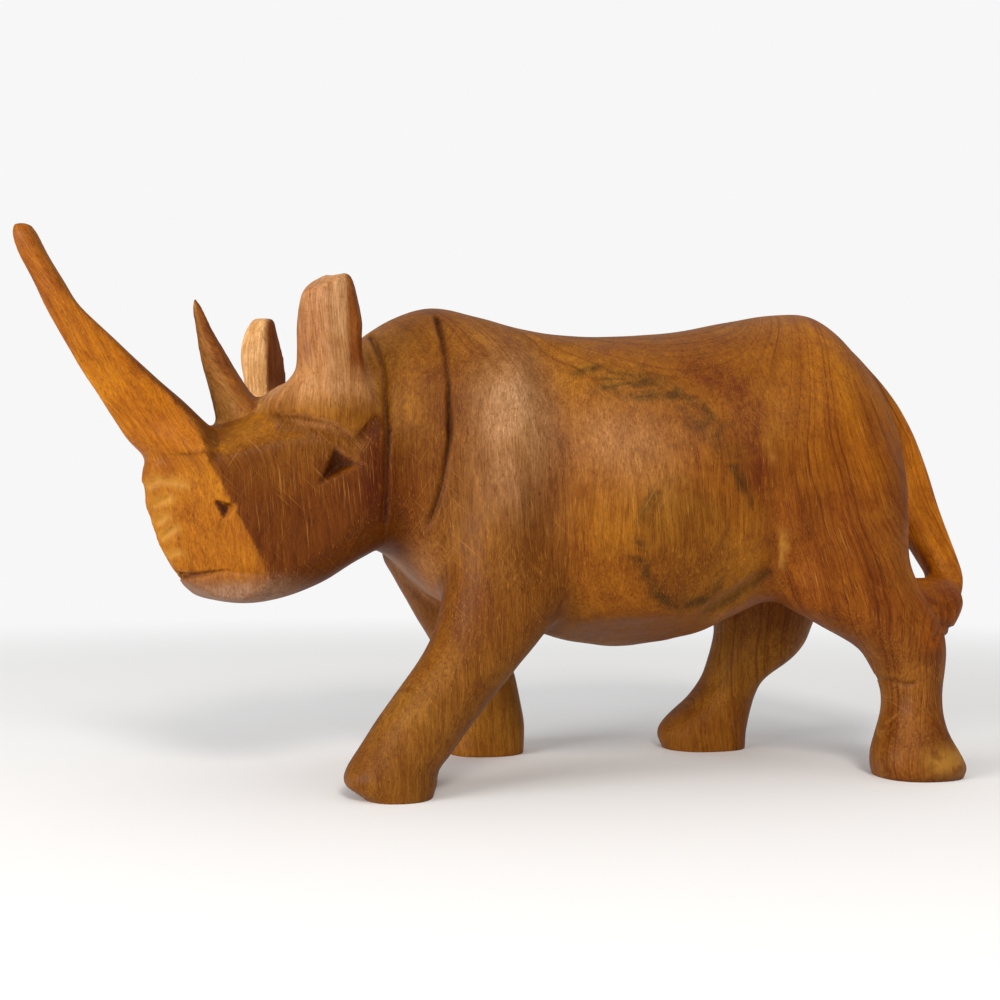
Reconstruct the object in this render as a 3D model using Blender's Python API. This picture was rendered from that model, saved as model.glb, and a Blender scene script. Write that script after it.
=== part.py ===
"""A rhinoceros figurine carved from one block of wood, standing on its four feet.

Metres, +Z up. The animal looks towards -X and its left flank is at -Y. The origin is the middle of its
bounding box, at floor height. Every form is a stack of rounded sections between two outlines; the forms
overlap, a voxel remesh makes them one skin, the hollows between them are eased as a rasp leaves them, and
the knife cuts come last.
"""

import math

import bmesh
import bpy
import numpy as np

LENGTH = 0.27                       # tip of the front horn to the tail, along X
UNITS_LONG = 269.5                  # stations below are in units: so many to the length
UNIT = LENGTH / UNITS_LONG

HEAD_TURN = math.radians(22.0)      # the head is turned to its left
NECK_PIVOT = (-28.0, 0.0, -1.0)     # the point it turns about, in units

VOXEL = 1.0                         # of the remesh, in units
SECTION_SIDES = 56                  # points round one section
SECTION_STEPS = 7                   # sections from one station to the next
TRIANGLES = 9300                    # of the finished solid
CARVING_CARE = 0.08                 # how much longer the carved places keep their small triangles

COLLAR_CUT_WIDTH = 1.7              # half-width of the two cuts round the neck
COLLAR_CUT_DEPTH = 1.5
EYE_DEPTH = 2.6
NOSTRIL_DEPTH = 1.8
MOUTH_DEPTH = 0.9
MOUTH_WIDTH = 1.1

WOOD_COLOUR = (0.42, 0.17, 0.045, 1.0)
WOOD_ROUGHNESS = 0.42

X = np.array((1.0, 0.0, 0.0))
Y = np.array((0.0, 1.0, 0.0))
Z = np.array((0.0, 0.0, 1.0))
MUZZLEWARD = np.array((-math.cos(HEAD_TURN), -math.sin(HEAD_TURN), 0.0))
HEAD_LEFT = np.array((math.sin(HEAD_TURN), -math.cos(HEAD_TURN), 0.0))


def smooth_rows(rows):
    """Stations made dense: a cubic through the rows, each with the slope between its two neighbours."""
    rows = np.asarray(rows, float)
    slopes = np.gradient(rows, axis=0)
    place = np.linspace(0.0, len(rows) - 1.0, (len(rows) - 1) * SECTION_STEPS + 1)
    first = np.minimum(place.astype(int), len(rows) - 2)
    t = (place - first)[:, None]
    start = (1.0 + 2.0 * t) * (1.0 - t) ** 2 * rows[first] + t * (1.0 - t) ** 2 * slopes[first]
    end = t * t * (3.0 - 2.0 * t) * rows[first + 1] + t * t * (t - 1.0) * slopes[first + 1]
    return start + end


def stack(rows, along, across, aside, origin=(0.0, 0.0, 0.0), widest=0.5, powers=(2.2, 2.2)):
    """Points of a stack of sections, as a grid of sections by points round each.

    A row is level, low, high, middle, half: the section lies at `level` on the `along` axis, runs from low
    to high on the `across` axis and `half` to each side of `middle` on the `aside` axis. It is a
    superellipse, widest at the share `widest` of its height, with the first power below that line and the
    second above it.
    """
    level, low, high, middle, half = smooth_rows(rows).T[:, :, None]
    turn = np.linspace(0.0, 2.0 * math.pi, SECTION_SIDES, endpoint=False)[None, :]
    power = np.where(np.sin(turn) < 0.0, powers[0], powers[1])
    rise = np.sign(np.sin(turn)) * np.abs(np.sin(turn)) ** (2.0 / power)
    reach = np.sign(np.cos(turn)) * np.abs(np.cos(turn)) ** (2.0 / power)
    height = high - low
    up = low + height * widest + rise * height * np.where(rise < 0.0, widest, 1.0 - widest)
    out = middle + half * reach
    parts = level[..., None] * along, up[..., None] * across, out[..., None] * aside
    return np.asarray(origin) + parts[0] + parts[1] + parts[2]


def plane_off(grid, point, normal):
    """A flat carved off: what stands out past the plane is pressed back on to it, along its normal."""
    normal = np.asarray(normal, float) / np.linalg.norm(normal)
    proud = np.maximum((grid - np.asarray(point, float)) @ normal, 0.0)
    return grid - proud[..., None] * normal


def head_point(forward, left, height):
    """A point given in the turned head's own directions."""
    return np.asarray(NECK_PIVOT) + forward * MUZZLEWARD + left * HEAD_LEFT + height * Z


def head_direction(forward, left, height):
    return forward * MUZZLEWARD + left * HEAD_LEFT + height * Z


def belly_flat(points, side):
    """One half of the underside: a crisp edge at the flank, then a slope to the middle of the belly."""
    return plane_off(points, (36.0, 30.0 * side, 44.4), (0.0, 0.34 * side, -1.0))


def muzzle_flat(points, side):
    """One side of the muzzle: from the edge that comes down off the horn, flat to the nose."""
    facing = head_direction(0.668, 0.713 * side, -0.212)
    return plane_off(points, head_point(57.0, 17.4 * side, 79.0), facing)


def trunk():
    """Neck, chest, belly and rump. Levels run from head to tail, low and high are belly and back."""
    rows = (
        (-52, 75, 111, -4, 17), (-42, 67, 121.8, -2.5, 24), (-32, 61, 128.8, -1, 28.5),
        (-21, 50.5, 132.5, 0, 32), (-8, 45, 130.3, 0, 35.5), (6, 40.8, 127, 0, 36.5),
        (20, 36.8, 125.5, 0, 38.5), (36, 34.6, 126, 0, 40), (52, 38, 127.8, 0, 39.5),
        (66, 44, 130.8, 0, 38), (80, 49.6, 133.4, 0, 37.5), (92, 53, 133.5, 0, 36),
        (102.6, 56, 125, 0, 32.5), (110.6, 58, 115.2, 0, 27), (116.6, 61, 104, 0, 20),
        (120.6, 65, 93.4, 0, 13), (122.8, 71, 84, 0, 6))
    grid = stack(rows, X, Z, Y, widest=0.43, powers=(2.9, 2.15))
    return belly_flat(belly_flat(grid, -1.0), 1.0)


def leg(side, rows):
    """A leg stacked upwards from below its sole, its top sunk in the trunk. Rows give front and rear."""
    mirrored = [(level, front, rear, side * middle, half) for level, front, rear, middle, half in rows]
    return stack(mirrored, Z, X, Y, powers=(2.3, 2.3))


def legs():
    """The four legs, in mid stride."""
    near_front = (
        (-6, -37, -24, 31, 9), (0, -40.9, -23.2, 31, 10.6), (3.4, -46, -21.9, 31, 11),
        (6.6, -45.9, -22.1, 31, 11), (10.5, -43.6, -18.5, 30.8, 10.5), (21.3, -36.3, -10.2, 30, 10.5),
        (31.8, -28.4, -1.2, 29, 11.5), (40, -23.2, 6, 27.5, 12.5), (48.5, -20.5, 12.6, 26, 13.5),
        (58.5, -18.8, 16.4, 24.5, 14.5), (74, -19, 14, 22, 15.5), (89, -16, 9, 19.5, 15.5),
        (102, -10, 3, 17, 12))
    far_front = (
        (-6, -10, 11.6, 31, 9.5), (0, -11, 12.7, 31, 10.6), (5, -11, 12.9, 31, 10.5),
        (10.3, -11.4, 12.7, 30.5, 10.5), (23.3, -13.2, 10, 30, 10.5), (32.3, -15.6, 7.2, 29, 11.5),
        (43.3, -22, 8, 27, 12.5), (54.3, -28.4, 12, 25.5, 13.5), (63, -32.4, 14, 24.5, 14.5),
        (77, -28, 13, 22, 15.5), (90, -16, 8, 19, 15), (102, -10, 2, 17, 12))
    near_hind = (
        (-6, 105, 123, 28, 9), (0, 102, 126.3, 28, 10.8), (2.6, 101.2, 127.2, 28.5, 11.5),
        (6.7, 101.2, 125.2, 28.5, 11), (12.2, 103.2, 122.2, 28, 10), (18.2, 105.2, 120.8, 27.5, 9.3),
        (24.2, 105.4, 120.8, 27, 9.5), (30.2, 102.6, 122, 26.5, 10.5), (35.7, 98.6, 122.8, 26, 11.5),
        (42.2, 87, 122.2, 25, 12.5), (49.2, 75.6, 118.4, 24, 13.5), (60, 70.5, 114, 22.5, 14.5),
        (75, 72, 114, 21, 16), (91, 76, 110.5, 19.5, 16.5), (106, 82, 103.5, 17, 14))
    far_hind = (
        (-6, 61, 83, 28, 9.5), (0, 58, 84.4, 28, 10.6), (4, 56.4, 84.8, 28.5, 11),
        (7.3, 57.6, 85.4, 28.5, 11), (11.3, 61.3, 86.1, 28, 10.5), (16.3, 66.8, 87.5, 27.5, 9.8),
        (21.8, 70.9, 90.4, 27, 10), (27.6, 72.8, 99, 26.5, 10.8), (32.8, 74.2, 103.8, 26, 11.5),
        (38.8, 74.8, 106, 25, 12.5), (48.8, 71.5, 109.6, 24, 13.5), (61, 70.5, 112, 22.5, 14.5),
        (75, 72, 113.5, 21, 16), (91, 76, 110.5, 19.5, 16.5), (106, 82, 103.5, 17, 14))
    return [leg(-1.0, near_front), leg(1.0, far_front), leg(-1.0, near_hind), leg(1.0, far_hind)]


def tail():
    """A strap that leaves the rump at the top, stands off it lower down and ends in a tuft."""
    strap = (
        (45.2, 129, 136.6, -9, 5), (50.2, 130.6, 140, -6.5, 6), (55.2, 132.4, 141.8, -4, 6),
        (61.2, 129.6, 141.7, -1.5, 5.5), (73.2, 122.8, 137.8, 0, 6), (87.7, 115.2, 132.8, 0, 7),
        (100.2, 108, 127.4, 0, 8), (110.2, 102, 120.6, 0, 9), (119.2, 97, 111.6, 0, 10),
        (126.8, 91, 103, 0, 10))
    tuft = (
        (36.2, 121, 127, -16, 4), (39.2, 116, 130.6, -15.5, 7), (43.2, 113, 133.8, -15, 8.5),
        (47.7, 111.5, 136.4, -13.5, 9), (52, 112.5, 136.4, -11, 8), (54.7, 122.5, 135.4, -8.5, 5))
    return [stack(strap, Z, X, Y, powers=(2.6, 3.0)), stack(tuft, Z, X, Y, powers=(2.4, 2.4))]


def head():
    """Skull and muzzle. Levels run from the neck to the nose, low and high are jaw and brow."""
    rows = (
        (-10, 75, 115, 0, 18), (2, 68.5, 116, 0, 24), (12, 65, 113, 0, 26), (22, 60.2, 109, 0, 26.5),
        (32, 54.6, 105, 0, 25.8), (42, 51.2, 101, 0, 24), (50, 50.4, 97.5, 0, 22),
        (58, 52.2, 95, 0, 19.5), (64.4, 57, 92.5, 0, 16.2), (69.4, 64, 90, 0, 12.4),
        (72.8, 71.4, 86.6, 0, 8), (74.2, 77, 81.5, 0, 3.4))
    grid = stack(rows, MUZZLEWARD, Z, HEAD_LEFT, NECK_PIVOT, widest=0.52, powers=(3.4, 2.7))
    return muzzle_flat(muzzle_flat(grid, -1.0), 1.0)


def horns():
    """The long front horn with its kink, and the slender one behind. Low and high are rear and front."""
    long_rows = (
        (76, 48, 68, 0, 16), (86, 47, 72.3, 0, 15.5), (92, 51.4, 77.6, 0, 14.5),
        (96.5, 57.4, 80.9, 0, 13), (102, 64, 84.6, 0, 11.6), (109, 72.6, 89.4, 0, 9.8),
        (117.5, 82.4, 94.6, 0, 7.8), (124, 89.8, 98.4, 0, 6.2), (130, 93.8, 101.4, 0, 5.2),
        (136, 97.5, 104.7, 0, 4.4), (141, 100.1, 106.3, 0, 3.6), (143.4, 101.8, 106, 0, 1.8))
    short_rows = (
        (90, 37, 54.4, 0, 9), (96, 38.6, 55, 0, 8.4), (101.4, 41.6, 56.1, 0, 7.4),
        (107, 46.4, 57.6, 0, 6), (112, 49.9, 59.1, 0, 4.8), (117, 53.2, 60.3, 0, 3.6),
        (122, 56.4, 61.1, 0, 2.5), (128.6, 59.4, 62.2, 0, 1.3))
    long_horn = stack(long_rows, Z, MUZZLEWARD, HEAD_LEFT, NECK_PIVOT, widest=0.2, powers=(1.6, 1.9))
    short_horn = stack(short_rows, Z, MUZZLEWARD, HEAD_LEFT, NECK_PIVOT, widest=0.3, powers=(1.5, 1.5))
    for side in (-1.0, 1.0):
        point = head_point(60.2, 13.5 * side, 89.9)
        long_horn = plane_off(long_horn, point, head_direction(0.565, 0.747 * side, -0.345))
    return [long_horn, short_horn]


def ears():
    """Two blunt paddles on a crest across the skull, cut with flats. Low and high are rear and front."""
    near_rows = (
        (90, 27, 31, 18.5, 5), (94, 21.5, 38, 18.2, 9), (98, 18.2, 45, 17.8, 10.5),
        (101.5, 17.6, 47, 17.5, 10.9), (105, 19, 44.6, 17.6, 10.4), (108, 20.4, 42.2, 17.9, 9.6),
        (111, 21.8, 40.4, 18.4, 8.7), (116, 23, 40.4, 19, 7.8), (121, 23.2, 40.8, 19.5, 7.2),
        (126, 23, 40.6, 20, 6.7), (130, 23.2, 39.8, 20.1, 6.2), (133.6, 24.2, 37.6, 20.1, 5.2),
        (136.2, 27, 33.4, 20.1, 2.8))
    far_rows = (
        (90, 27, 31, -18.5, 5), (94, 22.5, 37, -18.2, 8.5), (98, 20, 43, -17.8, 9.6),
        (101.5, 20, 44.2, -17.5, 9.8), (105, 21.6, 42.4, -17.8, 8.8), (108, 24.2, 41, -18.5, 7.2),
        (112, 26, 40.6, -19.6, 6.4), (117, 27.2, 41.2, -20.6, 5.9), (122, 28.8, 41, -21.2, 5.5),
        (127, 30.2, 39.4, -21.6, 5.1), (130.6, 31.2, 37, -21.6, 4.5))
    crest_rows = (
        (-20, 22, 41, 99.5, 8), (-12, 23, 43.5, 99.5, 7.6), (-3, 23, 46, 99, 7.8),
        (10, 21, 46.5, 99.5, 9.6), (20, 19, 46.5, 99.5, 9.5))
    near_ear = stack(near_rows, Z, MUZZLEWARD, HEAD_LEFT, NECK_PIVOT, widest=0.42, powers=(1.9, 1.8))
    near_flats = (
        ((26.0, 24.6, 126.0), (-0.80, 0.55, 0.22)),
        ((33.5, 25.2, 118.0), (0.42, 0.90, 0.10)),
        ((34.6, 21.4, 133.8), (0.45, 0.45, 0.77)),
        ((29.0, 27.0, 99.5), (0.10, 0.70, -0.70)),
        ((43.0, 20.0, 103.6), (0.72, 0.60, -0.35)))
    for place, facing in near_flats:
        near_ear = plane_off(near_ear, head_point(*place), head_direction(*facing))
    far_ear = stack(far_rows, Z, MUZZLEWARD, HEAD_LEFT, NECK_PIVOT, widest=0.6, powers=(1.5, 1.5))
    far_flats = (
        ((37.0, -16.2, 124.0), (0.62, 0.78, 0.05)),
        ((32.4, -16.4, 120.0), (-0.62, 0.78, 0.0)),
        ((34.5, -20.0, 131.0), (0.30, 0.35, 0.88)))
    for place, facing in far_flats:
        far_ear = plane_off(far_ear, head_point(*place), head_direction(*facing))
    crest = stack(crest_rows, HEAD_LEFT, MUZZLEWARD, Z, NECK_PIVOT, powers=(2.2, 2.2))
    return [near_ear, far_ear, crest]


def closed_mesh(grids):
    """One mesh of all the forms, each a closed tube of quads between two end caps."""
    points = []
    faces = []
    for grid in grids:
        start = sum(len(block) for block in points)
        rings, sides = grid.shape[:2]
        index = start + np.arange(rings * sides).reshape(rings, sides)
        ahead = np.roll(index, -1, axis=1)
        quads = np.stack((index[:-1], ahead[:-1], ahead[1:], index[1:]), axis=-1).reshape(-1, 4)
        faces += quads.tolist()
        faces += [index[0][::-1].tolist(), index[-1].tolist()]
        points.append(grid.reshape(-1, 3))
    mesh = bpy.data.meshes.new("rhinoceros")
    mesh.from_pydata(np.concatenate(points), [], faces)
    mesh.update()
    return mesh


def with_modifier(block, kind, settings):
    """The mesh of an object after one modifier. The object itself is used up."""
    bpy.context.scene.collection.objects.link(block)
    modifier = block.modifiers.new(kind, kind)
    for name, value in settings.items():
        setattr(modifier, name, value)
    graph = bpy.context.evaluated_depsgraph_get()
    result = bpy.data.meshes.new_from_object(block.evaluated_get(graph))
    bpy.data.objects.remove(block)
    return result


def get_points(mesh):
    flat = np.empty(len(mesh.vertices) * 3)
    mesh.vertices.foreach_get("co", flat)
    return flat.reshape(-1, 3)


def set_points(mesh, points):
    mesh.vertices.foreach_set("co", points.ravel())
    mesh.update()


def get_normals(mesh):
    flat = np.empty(len(mesh.vertices) * 3)
    mesh.vertex_normals.foreach_get("vector", flat)
    return flat.reshape(-1, 3)


def get_edges(mesh):
    flat = np.empty(len(mesh.edges) * 2, dtype=int)
    mesh.edges.foreach_get("vertices", flat)
    return flat.reshape(-1, 2).T


def towards_neighbours(points, edges):
    """From each point to the middle of its neighbours."""
    first, second = edges
    count = np.bincount(edges.ravel(), minlength=len(points))
    total = np.empty_like(points)
    for axis in range(3):
        column = points[:, axis]
        total[:, axis] = np.bincount(first, column[second], len(points))
        total[:, axis] += np.bincount(second, column[first], len(points))
    return total / count[:, None] - points


def fade(value, zero_at, one_at):
    """A smooth step: 0 at the first value, 1 at the second."""
    t = np.clip((value - zero_at) / (one_at - zero_at), 0.0, 1.0)
    return t * t * (3.0 - 2.0 * t)


def head_places(points):
    """Forward, left and upward distances in the turned head's own directions."""
    offset = points - np.asarray(NECK_PIVOT)
    return offset @ MUZZLEWARD, offset @ HEAD_LEFT, offset @ Z


def softness(points):
    """How far hollows are eased: fully on the body, little between ears and horns, at feet and tail."""
    forward, _, height = head_places(points)
    on_head = fade(forward, 14.0, 24.0) * fade(height, 84.0, 94.0)
    at_tail = fade(points[:, 0], 119.0, 125.0) * fade(height, 84.0, 72.0) * fade(height, 44.0, 50.0)
    at_feet = fade(height, 14.0, 6.0)
    return 1.0 - np.maximum.reduce((0.93 * on_head, 0.85 * at_tail, 0.6 * at_feet))


def ease(mesh, rounds, fill, trim):
    """Rasp the skin: hollows rise by the share `fill` towards their neighbours, ridges sink by `trim`."""
    points = get_points(mesh)
    edges = get_edges(mesh)
    soft = softness(points)
    for _ in range(rounds):
        set_points(mesh, points)
        normals = get_normals(mesh)
        pull = towards_neighbours(points, edges)
        lift = np.sum(pull * normals, axis=1)
        share = np.where(lift > 0.0, fill * soft, trim * (0.1 + 0.9 * soft))
        points = points + pull * share[:, None]
    set_points(mesh, points)


def plane_flats(mesh):
    """The flats planed after rasping: the two sides of the muzzle and the two halves of the belly."""
    points = get_points(mesh)
    forward, _, height = head_places(points)
    at_muzzle = (fade(forward, 36.0, 42.0) * fade(height, 92.0, 88.0))[:, None]
    at_belly = fade(points[:, 0], 12.0, 22.0) * fade(points[:, 0], 66.0, 56.0)
    at_belly = (at_belly * fade(height, 26.0, 31.0) * (height < 60.0))[:, None]
    for side in (-1.0, 1.0):
        points += at_muzzle * (muzzle_flat(points, side) - points)
        points += at_belly * (belly_flat(points, side) - points)
    set_points(mesh, points)


def distance_to_line(across, height, line):
    """Distance from each place (across, height) to a chain of straight pieces."""
    place = np.stack((across, height), axis=-1)
    nearest = np.full(len(place), np.inf)
    line = np.asarray(line, float)
    for start, end in zip(line[:-1], line[1:]):
        run = end - start
        share = np.clip((place - start) @ run / (run @ run), 0.0, 1.0)
        nearest = np.minimum(nearest, np.linalg.norm(place - start - share[:, None] * run, axis=1))
    return nearest


def groove(across, height, line, half_width, depth):
    """Depth of a V cut along a line."""
    return depth * np.maximum(1.0 - distance_to_line(across, height, line) / half_width, 0.0)


def notch(across, height, corners, depth):
    """Depth of a chip cut out with three strokes: an upside-down pyramid inside three corners."""
    corners = np.asarray(corners, float)
    middle = corners.mean(axis=0)
    place = np.stack((across, height), axis=-1)
    share = np.full(len(place), np.inf)
    for start, end in zip(corners, np.roll(corners, -1, axis=0)):
        inward = np.array((start[1] - end[1], end[0] - start[0]))
        inward = inward * np.sign((middle - start) @ inward)
        share = np.minimum(share, (place - start) @ inward / ((middle - start) @ inward))
    return depth * np.maximum(share, 0.0)


def carve(mesh):
    """The knife cuts: two each side of the neck, eyes, nostrils and mouth. Returns their depths."""
    points = get_points(mesh)
    normals = get_normals(mesh)
    forward, left, height = head_places(points)
    collar = np.abs(points[:, 1]) > 9.0
    front_cut = ((-38.5, 122.0), (-36.0, 111.0), (-35.0, 94.0), (-35.5, 78.0), (-36.0, 66.0))
    rear_cut = ((-20.5, 127.0), (-18.7, 108.0), (-19.0, 92.0), (-21.0, 80.0), (-23.8, 71.0), (-27.5, 65.0))
    depth = np.zeros(len(points))
    for line in (front_cut, rear_cut):
        cut = groove(points[:, 0], points[:, 2], line, COLLAR_CUT_WIDTH, COLLAR_CUT_DEPTH)
        depth = np.maximum(depth, cut * collar)
    outer = np.abs(left)
    eye = notch(forward, height, ((36.2, 81.4), (31.8, 91.2), (25.4, 86.8)), EYE_DEPTH) * (outer > 14.0)
    nostril = notch(forward, height, ((62.0, 77.6), (58.4, 71.6), (55.2, 75.6)), NOSTRIL_DEPTH)
    nostril = nostril * (outer > 6.0)
    mouth = groove(forward, height, ((71.0, 58.5), (62.0, 57.8), (50.0, 58.8)), MOUTH_WIDTH, MOUTH_DEPTH)
    mouth = mouth * (outer > 2.0) * fade(forward, 48.0, 66.0) * (height < 62.0)
    depth = np.maximum.reduce((depth, eye, nostril, mouth))
    set_points(mesh, points - depth[:, None] * normals)
    return depth


def thinned(mesh, cut_depth):
    """Fewer, larger triangles: largest on the broad body, smallest at the knife cuts, ears and horns."""
    points = get_points(mesh)
    forward, _, height = head_places(points)
    first, second = get_edges(mesh)
    near_cut = (cut_depth > 0.0).astype(float)
    for _ in range(2):
        spread = np.maximum(near_cut[first], near_cut[second])
        np.maximum.at(near_cut, first, spread)
        np.maximum.at(near_cut, second, spread)
    fine = np.maximum(near_cut, 0.5 * fade(forward, 14.0, 24.0) * fade(height, 84.0, 94.0))
    figure = bpy.data.objects.new("thinned", mesh)
    group = figure.vertex_groups.new(name="broad")
    for share in np.unique(fine):
        group.add(np.flatnonzero(fine == share).tolist(), 1.0 - share, "REPLACE")
    triangles = sum(len(face.vertices) - 2 for face in mesh.polygons)
    return with_modifier(figure, "DECIMATE", {"ratio": TRIANGLES / triangles, "vertex_group": "broad",
                                              "vertex_group_factor": CARVING_CARE})


def soles_cut_flat(mesh):
    """All below floor height is sawn off, which leaves four flat soles."""
    block = bmesh.new()
    block.from_mesh(mesh)
    everything = block.verts[:] + block.edges[:] + block.faces[:]
    cut = bmesh.ops.bisect_plane(block, geom=everything, dist=1e-5, plane_co=(0, 0, 0), plane_no=(0, 0, 1),
                                 clear_inner=True)
    rim = [item for item in cut["geom_cut"] if isinstance(item, bmesh.types.BMEdge)]
    bmesh.ops.holes_fill(block, edges=rim)
    bmesh.ops.triangulate(block, faces=block.faces[:])
    bmesh.ops.recalc_face_normals(block, faces=block.faces[:])
    block.to_mesh(mesh)
    block.free()


def to_size(mesh):
    """Units become metres, and the origin goes under the middle of the bounding box."""
    points = get_points(mesh) * UNIT
    low = points.min(axis=0)
    high = points.max(axis=0)
    set_points(mesh, points - np.array(((low[0] + high[0]) / 2.0, (low[1] + high[1]) / 2.0, low[2])))


def wood():
    material = bpy.data.materials.new("oiled_wood")
    material.use_nodes = True
    shader = material.node_tree.nodes["Principled BSDF"]
    shader.inputs["Base Color"].default_value = WOOD_COLOUR
    shader.inputs["Roughness"].default_value = WOOD_ROUGHNESS
    shader.inputs["Metallic"].default_value = 0.0
    return material


def rhinoceros():
    """The whole animal as one solid."""
    grids = [trunk(), head()] + legs() + tail() + horns() + ears()
    block = bpy.data.objects.new("block", closed_mesh(grids))
    mesh = with_modifier(block, "REMESH", {"mode": "VOXEL", "voxel_size": VOXEL})
    ease(mesh, rounds=60, fill=0.5, trim=0.04)
    ease(mesh, rounds=5, fill=0.3, trim=0.3)
    plane_flats(mesh)
    mesh = thinned(mesh, carve(mesh))
    soles_cut_flat(mesh)
    to_size(mesh)
    mesh.shade_smooth()
    mesh.materials.append(wood())
    figure = bpy.data.objects.new("rhinoceros", mesh)
    bpy.context.scene.collection.objects.link(figure)


for leftover in list(bpy.data.objects):
    bpy.data.objects.remove(leftover)
rhinoceros()
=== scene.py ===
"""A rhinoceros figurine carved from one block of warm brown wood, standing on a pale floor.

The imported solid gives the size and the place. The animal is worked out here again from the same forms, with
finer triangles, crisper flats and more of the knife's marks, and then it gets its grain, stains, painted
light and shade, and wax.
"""

import math

import bmesh
import bpy
import numpy as np
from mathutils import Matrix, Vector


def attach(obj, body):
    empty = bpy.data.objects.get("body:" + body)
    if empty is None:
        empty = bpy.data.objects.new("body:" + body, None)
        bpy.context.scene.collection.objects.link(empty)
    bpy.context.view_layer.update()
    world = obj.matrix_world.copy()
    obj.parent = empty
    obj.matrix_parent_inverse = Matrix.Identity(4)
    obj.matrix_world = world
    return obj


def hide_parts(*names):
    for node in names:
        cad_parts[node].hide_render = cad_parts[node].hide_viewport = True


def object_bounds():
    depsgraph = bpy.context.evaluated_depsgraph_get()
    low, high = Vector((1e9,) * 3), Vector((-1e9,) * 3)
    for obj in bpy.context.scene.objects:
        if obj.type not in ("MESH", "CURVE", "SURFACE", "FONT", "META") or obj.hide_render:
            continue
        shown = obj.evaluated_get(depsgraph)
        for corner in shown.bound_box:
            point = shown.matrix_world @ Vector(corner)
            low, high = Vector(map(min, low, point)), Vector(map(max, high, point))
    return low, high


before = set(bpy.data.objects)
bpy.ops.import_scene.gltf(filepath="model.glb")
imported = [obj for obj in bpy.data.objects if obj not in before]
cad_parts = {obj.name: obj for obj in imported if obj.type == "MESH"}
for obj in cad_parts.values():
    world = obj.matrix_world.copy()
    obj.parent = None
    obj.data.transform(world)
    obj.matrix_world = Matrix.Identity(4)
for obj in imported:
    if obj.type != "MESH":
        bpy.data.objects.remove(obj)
cad_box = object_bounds()

# Trunk. Neck, chest, belly and rump are the middle of the block, roughed out with an axe and then rasped.
# Everything is laid out in units, so many to the length, from a point on the floor under the shoulder.
UNITS_LONG = 269.5
UNIT = (cad_box[1].x - cad_box[0].x) / UNITS_LONG
BOX_MIDDLE = np.array((7.471, -0.252, 0.0))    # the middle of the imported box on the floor, in these units

SECTION_SIDES = 72                  # points round one section
SECTION_STEPS = 8                   # sections from one station to the next

X = np.array((1.0, 0.0, 0.0))
Y = np.array((0.0, 1.0, 0.0))
Z = np.array((0.0, 0.0, 1.0))


def smooth_rows(rows):
    """Stations made dense: a cubic through the rows, each with the slope between its two neighbours."""
    rows = np.asarray(rows, float)
    slopes = np.gradient(rows, axis=0)
    place = np.linspace(0.0, len(rows) - 1.0, (len(rows) - 1) * SECTION_STEPS + 1)
    first = np.minimum(place.astype(int), len(rows) - 2)
    t = (place - first)[:, None]
    start = (1.0 + 2.0 * t) * (1.0 - t) ** 2 * rows[first] + t * (1.0 - t) ** 2 * slopes[first]
    end = t * t * (3.0 - 2.0 * t) * rows[first + 1] + t * t * (t - 1.0) * slopes[first + 1]
    return start + end


def stack(rows, along, across, aside, origin=(0.0, 0.0, 0.0), widest=0.5, powers=(2.2, 2.2)):
    """A stack of sections, as a grid: one parameter runs up the stack, the other round a section.

    A row is level, low, high, middle, half: the section lies at `level` on the `along` axis, runs from low
    to high on the `across` axis and `half` to each side of `middle` on the `aside` axis. It is a
    superellipse, |x|^p + |y|^p = 1, widest at the share `widest` of its height, or at the share that ends
    its row, with the first power below that line and the second above it.
    """
    level, low, high, middle, half, *shares = smooth_rows(rows).T[:, :, None]
    widest = shares[0] if shares else widest
    turn = np.linspace(0.0, 2.0 * math.pi, SECTION_SIDES, endpoint=False)[None, :]
    power = np.where(np.sin(turn) < 0.0, powers[0], powers[1])
    rise = np.sign(np.sin(turn)) * np.abs(np.sin(turn)) ** (2.0 / power)
    reach = np.sign(np.cos(turn)) * np.abs(np.cos(turn)) ** (2.0 / power)
    height = high - low
    up = low + height * widest + rise * height * np.where(rise < 0.0, widest, 1.0 - widest)
    out = middle + half * reach
    parts = level[..., None] * along, up[..., None] * across, out[..., None] * aside
    return np.asarray(origin) + parts[0] + parts[1] + parts[2]


def plane_off(grid, point, normal):
    """A flat carved off: what stands out past the plane is pressed back on to it, along its normal."""
    normal = np.asarray(normal, float) / np.linalg.norm(normal)
    proud = np.maximum((grid - np.asarray(point, float)) @ normal, 0.0)
    return grid - proud[..., None] * normal


def belly_flat(points, side):
    """One half of the underside: a crisp edge at the flank, then a slope to the middle of the belly."""
    return plane_off(points, (36.0, 30.0 * side, 44.4), (0.0, 0.34 * side, -1.0))


def trunk():
    """Neck, chest, belly and rump. Levels run from head to tail, low and high are belly and back."""
    rows = (
        (-52, 75, 111, -4, 17), (-42, 67, 121.8, -2.5, 24), (-32, 61, 128.8, -1, 28.5),
        (-21, 50.5, 132.5, 0, 32), (-8, 45, 130.3, 0, 35.5), (6, 40.8, 127, 0, 36.5),
        (20, 36.8, 125.5, 0, 38.5), (36, 34.6, 126, 0, 40), (52, 38, 127.8, 0, 39.5),
        (66, 44, 130.8, 0, 38), (80, 49.6, 133.4, 0, 37.5), (92, 53, 133.5, 0, 36),
        (102.6, 56, 125, 0, 32.5), (110.6, 58, 115.2, 0, 27), (116.6, 61, 104, 0, 20),
        (120.6, 65, 93.4, 0, 13), (122.8, 71, 84, 0, 6))
    grid = stack(rows, X, Z, Y, widest=0.43, powers=(2.9, 2.15))
    return belly_flat(belly_flat(grid, -1.0), 1.0)


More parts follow.
